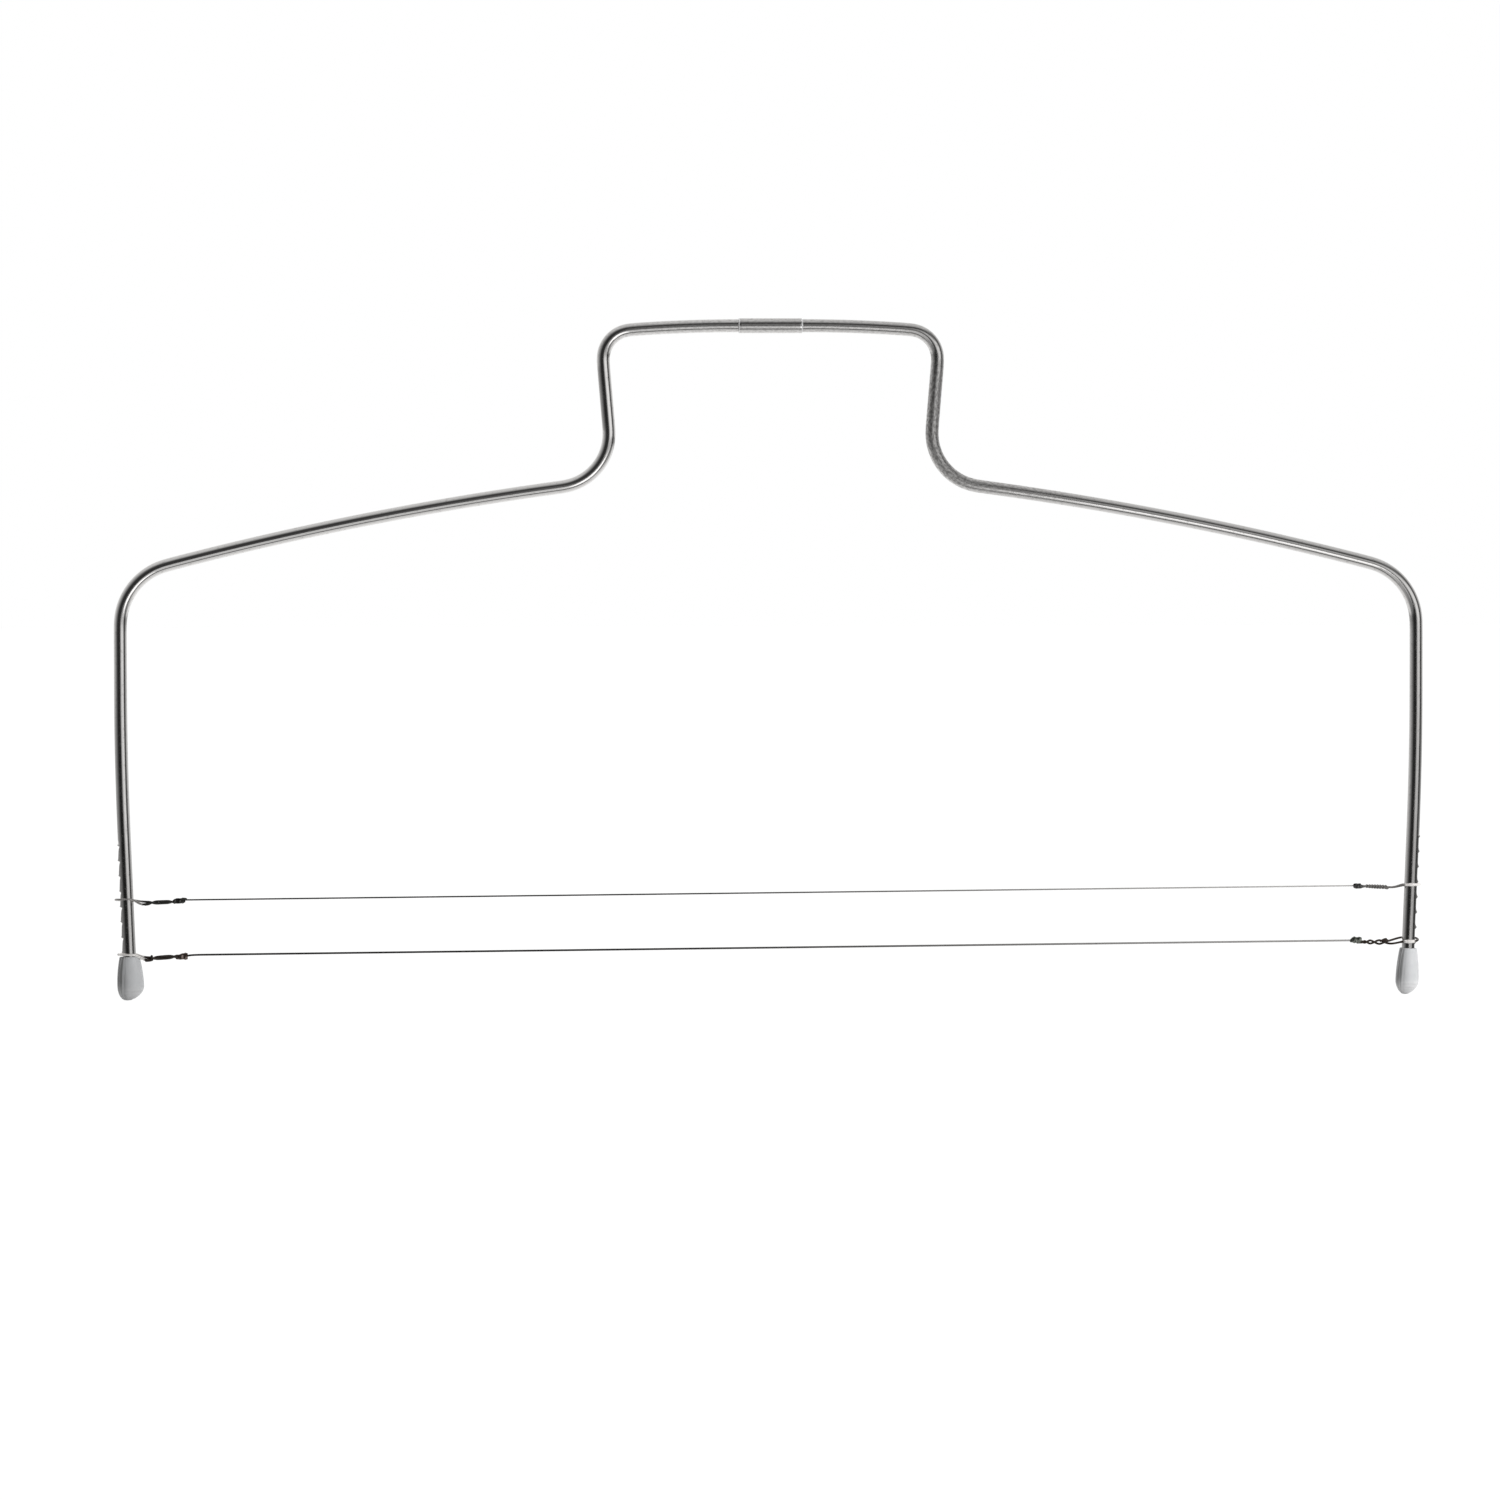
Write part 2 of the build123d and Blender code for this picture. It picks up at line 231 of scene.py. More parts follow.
def metal(tree, colour, metallic, roughness, height, depth):
    """A metal, with fine relief from the height."""
    look = {"Base Color": colour, "Metallic": metallic, "Roughness": roughness}
    return tree.finish(look, height, depth)


def shade(level, warmth=0.0):
    """A linear colour: grey, or a little warmer or cooler than grey."""
    return (level * (1 + warmth), level, level * (1 - warmth), 1.0)


# %% [markdown]
# Drawn rod is pulled through a die, which leaves lines along its length. They could be a
# texture on Object coordinates, but the rod bends, so they read the UV map, whose u runs along
# the rod and v around it. Stretching a noise about a hundred times along u makes the lines.
# Handling has dulled the grip bar and scuffed the right upright, where a hand holds it, and the
# notched feet are darker than the rest, a painted shade. The left rod is a little brighter than the right.

# %% Steel of the rods, and later of the sleeve
bar_rise, upright_rise, foot_shade_fall = (0.152, 0.166), (0.122, 0.132), (0.020, 0.055)  # heights in metres
line_width, scratch_size, speckle_size = 0.22 * mm, (1.1 * mm, 0.6 * mm), (0.9 * mm, 0.5 * mm)
cloud_scale = 160.0
steel_relief = 0.006 * mm


def drawn_steel(name, level, roughness, line_length, rim_highlight_from=None):
    """Bare steel with lines along the piece, scratches, clouds, a dulled grip, painted shade towards the
    feet and, if asked, a painted highlight on the rims.
    """
    tree = Tree(bpy.data.materials.new(name))
    lines = tree.surface_noise(line_length, line_width, 3.0)
    scratches = tree.step(tree.surface_noise(*scratch_size), 0.56, 0.70)
    clouds = tree.noise(tree.place(), cloud_scale, 3.0)
    to_right, _, height = tree.parts(tree.place())
    bar = tree.step(height, *bar_rise)
    scuffed = tree.step(to_right, 0.0, 0.01) * tree.step(height, *upright_rise) * (1 - bar)
    colour = tree.blend(scratches * 0.7, shade(level, 0.01), shade(level * 0.62, 0.02))
    colour = tree.blend(lines * 0.7, colour, shade(level * 0.8, 0.03))
    # Painted shade: the steel is darker towards the feet.
    feet = tree.fall(height, *foot_shade_fall)
    speckles = tree.step(tree.surface_noise(*speckle_size), 0.42, 0.60)
    darker = (bar * 0.35 + scuffed * 0.9) * speckles + feet * 0.35
    colour = tree.blend(darker, colour, shade(level * 0.5, 0.02))
    rough = (lines - 0.5) * 0.14 + scratches * 0.09 + (clouds - 0.5) * 0.08
    rough = rough + scuffed * 0.28 + roughness
    metallic = 1.0
    # Painted highlight: on the rims the steel is pale and less metallic.
    if rim_highlight_from:
        rims = tree.step(abs(to_right), *rim_highlight_from)
        colour, metallic = tree.blend(rims, colour, shade(0.85)), 1 - rims * 0.6
    return metal(tree, colour, metallic, rough, lines * 0.6 - scratches * 0.4, steel_relief)


# %% [markdown]
# ## The two rods
# The frame is two bent rods that meet in a sleeve in the middle of the grip. Each is a round
# section carried along one line of straight runs and arcs. The line is worked out from the
# bends, as a rod bender sets them: how long each run is, and how far it turns.

# %% Sizes of the bow
sleeve_half, sleeve_radius, overall_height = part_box("joining_sleeve")[1]
half_width, rod_radius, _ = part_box("right_frame_rod")[1]
butt_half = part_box("right_frame_rod")[0].x
cap_floor = 1.8 * mm
grip_clear_width = 81 * mm
grip_drop = 40.4 * mm
grip_corner_radius = 7.25 * mm
grip_foot_radius = 13.4 * mm
leg_corner_radius = 15.5 * mm
bar_arch_turn = 4.2
upright_slope = 94.8
shoulder_start_slope = 7.6
shoulder_end_slope = 14.6
leg_lean = 2.2
leg_upright_share = 0.32
easing = 1.8 * mm
lowest_notch = {"left": 11.5 * mm, "right": 12.7 * mm}
notch_count = 8
notch_pitch = 3.85 * mm
straight_top = lowest_notch["right"] + (notch_count - 1) * notch_pitch + 3 * mm
outward = {"left": -1, "right": 1}


# %% The bends, from the sleeve to the foot
def cos(degrees):
    return math.cos(math.radians(degrees))


def sin(degrees):
    return math.sin(math.radians(degrees))


def rise(radius, start, end):
    """Height between two slopes of an arc: the radius times the difference of their cosines."""
    return radius * abs(cos(start) - cos(end))


def reach(radius, start, end):
    """Level distance between two slopes of an arc, from the difference of their sines."""
    return radius * abs(sin(start) - sin(end))


def arc(radius, turn):
    """Length of an arc, and how far it turns, in degrees. Down is minus."""
    return radius * math.radians(abs(turn)), turn


bar_height = overall_height - sleeve_radius
corner_x = grip_clear_width / 2 + rod_radius
arch_radius = corner_x - reach(grip_corner_radius, bar_arch_turn, 90) - sleeve_half
arch_radius /= sin(bar_arch_turn)
upright_fall = grip_drop - rise(arch_radius, 0, bar_arch_turn)
upright_fall -= rise(grip_corner_radius, bar_arch_turn, upright_slope)
upright_fall -= rise(grip_foot_radius, upright_slope, shoulder_start_slope)
upright_length = upright_fall / cos(upright_slope - 90)
shoulder_start_x = corner_x - reach(grip_corner_radius, 90, upright_slope)
shoulder_start_x -= upright_length * sin(upright_slope - 90)
shoulder_start_x += reach(grip_foot_radius, upright_slope, shoulder_start_slope)
half_span = half_width - rod_radius
shoulder_end_x = half_span - reach(leg_corner_radius, shoulder_end_slope, 90)
shoulder_radius = shoulder_end_x - shoulder_start_x
shoulder_radius /= reach(1, shoulder_start_slope, shoulder_end_slope)
leg_top = bar_height - grip_drop - rise(shoulder_radius, shoulder_start_slope, shoulder_end_slope)
leg_top -= rise(leg_corner_radius, shoulder_end_slope, 90)
bow_top = leg_top - (leg_top - straight_top) * leg_upright_share
bow_radius = (bow_top - straight_top) / sin(leg_lean)
straight_top_x = half_span - rise(bow_radius, 0, leg_lean)
bends = [
    (sleeve_half - butt_half, 0),
    arc(arch_radius, -bar_arch_turn),
    arc(grip_corner_radius, bar_arch_turn - upright_slope),
    (upright_length, 0),
    arc(grip_foot_radius, upright_slope - shoulder_start_slope),
    arc(shoulder_radius, shoulder_start_slope - shoulder_end_slope),
    arc(leg_corner_radius, shoulder_end_slope - 90),
    (leg_top - bow_top, 0),
    arc(bow_radius, -leg_lean),
    ((straight_top - cap_floor) / cos(leg_lean), 0),
]
run_lengths, run_turns = np.array(bends).T
run_turns = np.radians(run_turns)
rod_length = run_lengths.sum()
print("rod length in mm:", round(rod_length / mm, 2))


# %% Places along the bends
def chord(length, heading, turn):
    """End of an arc from its start: length x sin(turn / 2) / (turn / 2), half the turn further on."""
    straight = length * np.sinc(turn / (2 * np.pi))
    return np.stack([straight * np.cos(heading + turn / 2), straight * np.sin(heading + turn / 2)], -1)


def walk(distance):
    """Place (x, z) and heading at each distance along the rod's line."""
    starts = np.concatenate([[0], np.cumsum(run_lengths)[:-1]])
    headings = np.concatenate([[0], np.cumsum(run_turns)[:-1]])
    corners = np.cumsum(chord(run_lengths, headings, run_turns), axis=0)
    corners = np.concatenate([[[0, 0]], corners[:-1]]) + (butt_half, bar_height)
    run = np.clip(np.searchsorted(starts, distance, side="right") - 1, 0, len(starts) - 1)
    gone = distance - starts[run]
    turned = run_turns[run] * gone / run_lengths[run]
    return corners[run] + chord(gone, headings[run], turned), headings[run] + turned


def eased_walk(distance):
    """The same line as rod really bends, as no bend starts at once.

    Its places and headings are averages over a short stretch either way.
    """
    stretch = np.linspace(-1, 1, 9) * easing
    places, headings = zip(*(walk(distance + step) for step in stretch))
    return np.mean(places, axis=0), np.mean(headings, axis=0)


def leg_x(height):
    """Distance of a leg's middle from the middle of the tool, on its straight lower part."""
    return straight_top_x - (straight_top - height) * math.tan(math.radians(leg_lean))


foot_place, _ = walk(np.array([rod_length]))
print("foot of the line in mm:", (foot_place / mm).round(3))

# %% [markdown]
# The notches are pressed into the outside of each leg. On the left leg the metal is pushed out
# into saw teeth, with a sharp lip above and a long ramp down to the next. On the right leg the
# press went deeper: its outside is flat, and only a small burr stands at each lip. Booleans
# would leave long thin faces, so each ring of the rod is swollen where the metal was pushed out
# and then cut off flat, at a distance that is read from one tooth's outline.

# %% The teeth of the notches
lip_over_notch = {"left": 0.6 * mm, "right": 0.45 * mm}
swelling = {"left": 0.30 * mm, "right": 0.32 * mm}
swelling_spread = 0.45
tooth_outlines = {  # share of the pitch below a lip, and how far the face is off the rod's round
    "left": [(0, 0.27), (0.04, 0.05), (0.10, -0.30), (0.25, -0.12), (0.60, 0.0), (0.88, 0.08), (1, 0.27)],
    "right": [(0, 0.30), (0.06, 0.08), (0.14, -0.20), (0.74, -0.20), (0.88, -0.04), (1, 0.30)],
}
tooth_sizes = (0.75, 1.15)  # no two teeth were pressed alike
teeth_floor, fade_below, fade_above = 10.6 * mm, 0.5 * mm, 0.1
pitch_along = notch_pitch / cos(leg_lean)
uneven = np.random.default_rng(7)


def down_the_rod(height):
    """Distance along the rod of a height on the straight lower part of a leg."""
    return rod_length - (height - cap_floor) / cos(leg_lean)


def lip_at(side, notch):
    """Distance along the rod of the lip over a notch, counted up from the lowest, which is 0."""
    return down_the_rod(lowest_notch[side] + lip_over_notch[side] + notch * notch_pitch)


def teeth(side, s):
    """How far the outer face is cut to, off the rod's round, and how strongly the rod is swollen.

    Both come from the place below the nearest lip above, as a share of the pitch. Outside the
    stretch of teeth the cut is past the swelling, so that nothing is cut.
    """
    below = (s - lip_at(side, notch_count - 1)) / pitch_along
    to_floor = (down_the_rod(teeth_floor) - s) / fade_below
    stretch = np.clip(below / fade_above + 1, 0, 1) * np.clip(to_floor, 0, 1)
    sizes = uneven.uniform(*tooth_sizes, notch_count + 2)
    size = sizes[np.clip(below + 1, 0, notch_count + 1).astype(int)]
    share, face = np.array(tooth_outlines[side]).T
    cut = np.interp(below % 1, share, face) * size * mm
    return cut * stretch + (1 - stretch) * swelling[side] * 1.5, stretch * swelling[side]


# %% The rings of a rod
widest_turn, widest_gap = 0.045, 2 * mm  # between neighbouring rings
ring_shares = np.array([0, 2, 4, 7, 10, 12, 14, 19, 25, 40, 60, 70, 78, 84, 88, 90, 94, 97]) / 100
over_top_lip = np.array([0.1, 0.05, 0.02])
spigot_radius, chamfer, chamfer_length, end_rounding = 1.3 * mm, 0.1 * mm, 0.12 * mm, 0.3 * mm
step_rings = np.array([-0.01, 0, 0.12, 0.14, 0.2, 0.4, 1.0]) * mm
rod_columns = 72
around_rod = np.linspace(0, 2 * np.pi, rod_columns + 1)


def ring_places(side):
    """Distances of the rings: even in the runs, and close at the spigot's step, the lips and the end."""
    places = [run_lengths[0] + step_rings, [rod_length - end_rounding, rod_length]]
    for end, length, turn in zip(np.cumsum(run_lengths), run_lengths, run_turns):
        count = max(2, math.ceil(max(abs(turn) / widest_turn, length / widest_gap)))
        places.append(np.linspace(end - length, end, count))
    places += [lip_at(side, notch) + ring_shares * pitch_along for notch in range(-1, notch_count)]
    places.append(lip_at(side, notch_count - 1) - over_top_lip * pitch_along)
    s = np.unique(np.concatenate(places).round(7))
    return s[(s >= 0) & (s <= rod_length)]


def plain_radius(s):
    """Radius without the teeth: the spigot, its step, the rod and the rounding at its end."""
    step = run_lengths[0]
    at = [0, step - 0.01 * mm, step, step + chamfer_length, rod_length - end_rounding, rod_length]
    radii = [spigot_radius] * 2 + [rod_radius - chamfer, rod_radius, rod_radius, rod_radius - 3 * chamfer]
    return np.interp(s, at, radii)


def rod_rings(side):
    """Points of one rod.

    At distance s the ring is r cos a outwards and r sin a in depth. The swelling adds its size
    times exp(-(a / spread)^2) to r, and then the outward part is cut off at the tooth's face.
    """
    s = ring_places(side)
    cut, swollen = teeth(side, s)
    angle = (around_rod[:-1] + np.pi / 2)[None, :]
    turned = np.abs((angle + np.pi) % (2 * np.pi) - np.pi)
    radius = plain_radius(s)[:, None] + swollen[:, None] * np.exp(-(turned / swelling_spread) ** 2)
    outwards = np.minimum(radius * np.cos(angle), (rod_radius + cut)[:, None])
    place, heading = eased_walk(s)
    x = place[:, :1] - np.sin(heading)[:, None] * outwards
    z = place[:, 1:] + np.cos(heading)[:, None] * outwards
    return np.stack([outward[side] * x, radius * np.sin(angle), z], -1), s


for side, level, roughness in (("left", 0.86, 0.12), ("right", 0.76, 0.14)):
    rings, s = rod_rings(side)
    skins = [skin(rings, s, around_rod * rod_radius)]
    steel = drawn_steel(f"{side}_rod_steel", level, roughness, 22 * mm)
    make_piece(f"{side}_rod", skins, "frame", f"{side}_frame_rod", steel)

# %% [markdown]
# ## The joining sleeve
# A short steel tube covers the meeting of the two rods. Its rims carry a painted highlight, two
# thin bright lines, pale and less metallic. A tube with a bevel modifier would do, but a profile
# turned about its axis brings the UV map in real lengths as well.

# %% Turn the sleeve
# The sleeve's rims get a painted highlight, two thin bright lines.
rim_highlight_from = (sleeve_half - 0.35 * mm, sleeve_half - 0.20 * mm)
sleeve_steel = drawn_steel("sleeve_steel", 0.80, 0.15, 5 * mm, rim_highlight_from)
sleeve_rim = 0.2 * mm
sleeve_columns = 96
rim_turn = np.linspace(0, np.pi / 2, 7)
rim_x = sleeve_half - sleeve_rim + sleeve_rim * np.sin(rim_turn)
rim_r = sleeve_radius - sleeve_rim + sleeve_rim * np.cos(rim_turn)
barrel_x = np.linspace(-0.9, 0.9, 13) * sleeve_half
profile_x = np.concatenate([-rim_x[::-1], barrel_x, rim_x, [sleeve_half, -sleeve_half]])
bore = [spigot_radius, spigot_radius]
profile_r = np.concatenate([rim_r[::-1], 0 * barrel_x + sleeve_radius, rim_r, bore])
sleeve_turn = np.linspace(0, 2 * np.pi, sleeve_columns + 1)
rings = np.stack([
    np.outer(profile_x, np.ones(sleeve_columns)),
    np.outer(profile_r, np.sin(sleeve_turn[:-1] + np.pi)),
    np.outer(profile_r, np.cos(sleeve_turn[:-1] + np.pi)) + bar_height,
], -1)
sleeve_skin = skin(rings, profile_x, sleeve_turn * sleeve_radius, closed_along=True)
make_piece("sleeve", [sleeve_skin], "frame", "joining_sleeve", sleeve_steel)

# %% [markdown]
# ## The plastic feet
# Each leg ends in a plastic cap, a drop with an oval section and a rounded rim. Its bottom is
# skewed, dark streaks of painted shade run down one side, the foot is painted lighter as if lit
# from the floor, and faint rings go round it. A subdivided cylinder could be pushed into shape,
# but the drop is simpler as a profile of two arcs scaled to an oval, pressed flat where it stands
# on the table.

# %% The cap's material
cap_girth = 2 * math.pi * 3.1 * mm
streak_size, foot_ring_size = (14 * mm, 0.6 * mm), (0.8 * mm, 12 * mm)
foot_fall = (1.5 * mm, 5 * mm)
left_shade_level, left_shade_share = 0.17, 0.95
cap_relief = 0.04 * mm


def cap_plastic_finish(name, level, dark_from):
    """Pale grey plastic: clouds, painted shade in streaks down its left side, a foot painted lighter as if
    lit from the floor, with faint rings.

    The shaded side is given in shares of the way round the cap, from its back.
    """
    tree = Tree(bpy.data.materials.new(name))
    streaks = tree.surface_noise(*streak_size)
    rings = tree.surface_noise(*foot_ring_size, 1.0)
    clouds = tree.noise(tree.place(), 420.0, 3.0)
    _, around, _ = tree.parts(tree.lengths())
    _, _, height = tree.parts(tree.place())
    left_side = tree.band(around * (1 / cap_girth), dark_from - 0.05, dark_from + 0.07, 0.70, 0.80)
    lit_foot_and_rings = tree.fall(height, *foot_fall)
    # Painted shade down the cap's left side, darkest along the streaks.
    left_shade = left_side * (tree.step(streaks, 0.46, 0.54) * 0.75 + 0.2) * left_shade_share
    colour = tree.blend(clouds, shade(level * 0.92, -0.02), shade(level * 1.08, -0.01))
    # Painted light: the foot is lighter, as if lit from the floor, and the painted shade fades there.
    colour = tree.blend(lit_foot_and_rings * 0.6, colour, shade(level * 1.3))
    colour = tree.blend(left_shade * (1 - lit_foot_and_rings * 0.5), colour, shade(left_shade_level))
    colour = tree.blend(lit_foot_and_rings * tree.step(rings, 0.45, 0.7) * 0.25, colour, shade(level * 0.7))
    look = {"Base Color": colour, "Roughness": (clouds - 0.5) * 0.15 + 0.34, "Specular IOR Level": 0.5}
    return tree.finish(look, streaks * 0.5 + rings * lit_foot_and_rings, cap_relief)


# %% The cap's shape
cap_mouth_share = 0.74
cap_belly_height, cap_foot_width, cap_rim = 3.6 * mm, 1.2 * mm, 0.25 * mm
cap_columns = 96
caps = {  # width, depth, height and how far the foot is skewed outwards in mm; brightness, start of the painted shade
    "left": (6.7, 5.8, 11.0, 0.85, 0.50, 0.55),
    "right": (5.8, 6.7, 11.7, -0.40, 0.70, 0.58),
}


def cap_profile(width, cap_height):
    """Half width against height: an arc under the belly, an arc above it, the rim and the bore.

    The arc above turns from upright at the belly to the mouth, so its radius is
    (drop^2 + height^2) / (2 drop). The arc below passes through the edge of the flat.
    """
    belly, mouth, flat = width / 2, width * cap_mouth_share / 2, cap_foot_width / 2
    centre = (belly**2 - flat**2 - cap_belly_height**2) / (2 * (belly - flat))
    radius = belly - centre
    below = np.linspace(-0.995 * math.acos(-centre / radius), 0, 24)
    tall, drop = cap_height - cap_belly_height, belly - mouth
    upper_radius = (drop**2 + tall**2) / (2 * drop)
    above = np.linspace(0, math.asin((tall - cap_rim) / upper_radius), 26)[1:]
    turn = np.linspace(0, np.pi, 9)[1:]
    edge = belly - upper_radius * (1 - np.cos(above[-1]))
    widths = np.concatenate([
        centre + radius * np.cos(below),
        belly - upper_radius * (1 - np.cos(above)),
        edge - cap_rim * (1 - np.cos(turn)),
        [rod_radius, rod_radius],
    ])
    heights = np.concatenate([
        cap_belly_height + radius * np.sin(below),
        cap_belly_height + upper_radius * np.sin(above),
        cap_height - cap_rim + cap_rim * np.sin(turn),
        [cap_height - 1 * mm, cap_floor + 0.4 * mm],
    ])
    return widths, heights


def cap_rings(side):
    """Points of one cap: the profile as an oval, leaning with the leg, its foot pressed flat."""
    width, depth, cap_height, skew = (size * mm for size in caps[side][:4])
    half, height = cap_profile(width, cap_height)
    angle = np.linspace(0, 2 * np.pi, cap_columns + 1)[:-1] + np.pi / 2
    bore = np.arange(len(half)) >= len(half) - 2
    below_belly = np.clip(1 - height / cap_belly_height, 0, 1)[:, None]
    across = np.outer(half, np.cos(angle)) + skew * below_belly**2
    deep = np.outer(half * np.where(bore, 1, depth / width), np.sin(angle))
    x = leg_x(0) + across * cos(leg_lean) + height[:, None] * sin(leg_lean)
    z = height[:, None] * cos(leg_lean) - across * sin(leg_lean)
    travelled = np.concatenate([[0], np.cumsum(np.hypot(np.diff(half), np.diff(height)))])
    return np.stack([outward[side] * x, deep, np.maximum(z, 0)], -1), travelled


for side, (*_, level, dark_from) in caps.items():
    rings, travelled = cap_rings(side)
    around = np.linspace(0, cap_girth, cap_columns + 1)[::-outward[side]]
    skins = [skin(rings, travelled, around)]
    plastic = cap_plastic_finish(f"{side}_cap_plastic", level, dark_from)
    make_piece(f"{side}_cap", skins, "frame", f"{side}_end_cap", plastic)

# %% [markdown]
# ## The cutting wires
# Two hard, thin wires do the cutting. They are pulled tight, so they are straight, and they are
# working parts and not loose cords. Each runs from the bore of one ferrule to the other. Their
# left halves are nearly black, and they turn to bright steel towards the right.

# %% A strand along a line
strand_columns = 14
least_level = 0.05  # a path that is less level than this goes straight up or down
first_ring = 0.25  # how far into its round end a strand begins, in radii


def unit(vectors):
    """The same directions, with length 1."""
    return vectors / np.linalg.norm(vectors, axis=-1, keepdims=True)


def strand(path, radius):
    """A round wire along a path: each ring is square to the path, level sideways and upright.

    The sideways direction is the tangent x up, and the last few rings draw in to a round end.
    """
    tangent = unit(np.gradient(path, axis=0))
    sideways = np.cross(tangent, np.array([0, 0, 1.0]))
    cosine = np.linalg.norm(sideways, axis=1, keepdims=True)
    sideways /= np.maximum(cosine, least_level)
    sideways = np.where(cosine > least_level, sideways, np.array([[0, 1.0, 0]]))
    upwards = np.cross(sideways, tangent)
    along = np.concatenate([[0], np.cumsum(np.linalg.norm(np.diff(path, axis=0), axis=1))])
    angle = np.linspace(0, 2 * np.pi, strand_columns + 1)
    to_end = np.minimum(along, along[-1] - along) / radius
    size = radius * np.sqrt(np.clip(1 - (1 - np.clip(to_end + first_ring, 0, 1)) ** 2, 0, 1))
    level = np.cos(angle)[None, :-1, None] * sideways[:, None]
    upright = np.sin(angle)[None, :-1, None] * upwards[:, None]
    rings = path[:, None] + size[:, None, None] * (level + upright)
    return skin(rings, along, angle * np.max(radius))


# %% The wires' finish
dark_to_bright = (-0.05, 0.20)  # places from left to right, in metres
wire_metallic, wire_roughness = 0.25, 0.34


def wire_finish(name, right_level):
    """Steel wire, nearly black on the left and brighter towards the right."""
    tree = Tree(bpy.data.materials.new(name))
    lines = tree.surface_noise(3 * mm, 0.10 * mm, 3.0)
    blotches = tree.surface_noise(6 * mm, 2 * mm)
    to_right, _, _ = tree.parts(tree.place())
    bright = tree.step(to_right + (blotches - 0.5) * 0.03, *dark_to_bright)
    colour = tree.blend(bright, shade(0.02, 0.05), shade(right_level, 0.02))
    return metal(tree, colour, wire_metallic, (lines - 0.5) * 0.2 + wire_roughness, lines, 0.004 * mm)


# %% Stretch the two wires
wires = {  # radius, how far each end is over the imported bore, how bright the right end is
    "upper": (0.19 * mm, 0.51 * mm, 0.38 * mm, 0.70),
    "lower": (0.25 * mm, 0.60 * mm, 0.33 * mm, 0.50),
}
lower_left_dip, dip_fade = 0.4 * mm, 1.0 * mm
near_end = np.array([0, 0.02, 0.08, 0.2, 0.4, 0.7, 1.0, 1.4, 1.9, 2.5, 3.2, 4.0]) * mm
middle_from = 4.5 * mm
for wire, (radius, left_rise, right_rise, right_level) in wires.items():
    low, high = (np.array(corner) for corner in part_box(f"{wire}_cutting_wire"))
    start = np.array([low[0], 0, low[2] + high[1] + left_rise])
    end = np.array([high[0], 0, high[2] - high[1] + right_rise])
    length = np.linalg.norm(end - start)
    middle = np.linspace(middle_from, length - middle_from, 60)
    travelled = np.concatenate([near_end, middle, length - near_end[::-1]])
    path = start + (end - start) * travelled[:, None] / length
    if wire == "lower":
        path[:, 2] -= lower_left_dip * np.exp(-travelled / dip_fade)
    finish = wire_finish(f"{wire}_wire_steel", right_level)
    node = f"{wire}_cutting_wire"
    make_piece(f"{wire}_wire", [strand(path, radius)], f"{wire}_wire", node, finish)

# %% [markdown]
# ## The twisted ties
# At each end a tie wire comes out of its ferrule, goes round the leg and comes back, and its two
# strands are twisted together. No two ties are alike: the upper right has many tight turns, the
# left ones cross over twice, and the lower right stands open with gaps between its strands. A
# helix with a steady turn would look like a spring, so each tie has a list of the places where
# its strands cross, and its phase goes half a turn further at each of them.

# %% How each tie was twisted
loop_opening = 68
loop_play = 0.2 * mm
# in mm: strand is a radius, loop, foot and head are heights over the notch, and foot_at and reach
# lie along the tie. tilt and flare are shares, and start is in half turns.
tie_sizes = "notch", "strand", "loop", "foot", "head", "tilt", "foot_at", "reach", "flare", "start"
tie_rows = {
    "upper_left": (4, 0.28, -1.62, -2.45, -2.17, 0.10, 4.2, 2.85, 0.65, 0.5),
    "upper_right": (4, 0.25, -0.30, -1.02, -0.69, 0.0, 5.2, 2.32, 1.6, 0.0),
    "lower_left": (0, 0.31, 0.0, -1.05, -0.54, 0.0, 4.6, 2.70, 0.75, 0.5),
    "lower_right": (0, 0.27, 1.15, 0.45, 0.55, -0.19, 5.4, 2.36, 1.7, 0.5),
}
ties = {name: dict(zip(tie_sizes, row)) for name, row in tie_rows.items()}
crossings = {  # places along the tie, in mm
    "upper_left": [6.3, 11.3],
    "upper_right": [6.4 + 0.68 * turn for turn in range(8)],
    "lower_left": [6.0, 11.2],
    "lower_right": [6.15, 8.75, 10.66, 11.6],
}
half_spreads = {  # half the distance between the strands: where along the tie, and how much, in mm
    "upper_left": [(4.2, 0.34), (4.9, 0.27), (6.4, 0.26), (8.0, 0.28), (10.2, 0.26), (11.2, 0.22)],
    "upper_right": [(5.2, 0.30), (6.2, 0.30), (8.5, 0.34), (11.2, 0.24)],
    "lower_left": [(4.6, 0.30), (5.6, 0.24), (7.2, 0.26), (8.9, 0.30), (10.4, 0.26), (11.2, 0.22)],
    "lower_right": [(5.4, 0.32), (6.2, 0.30), (7.4, 0.48), (8.7, 0.30), (9.7, 0.41), (10.8, 0.22)],
}
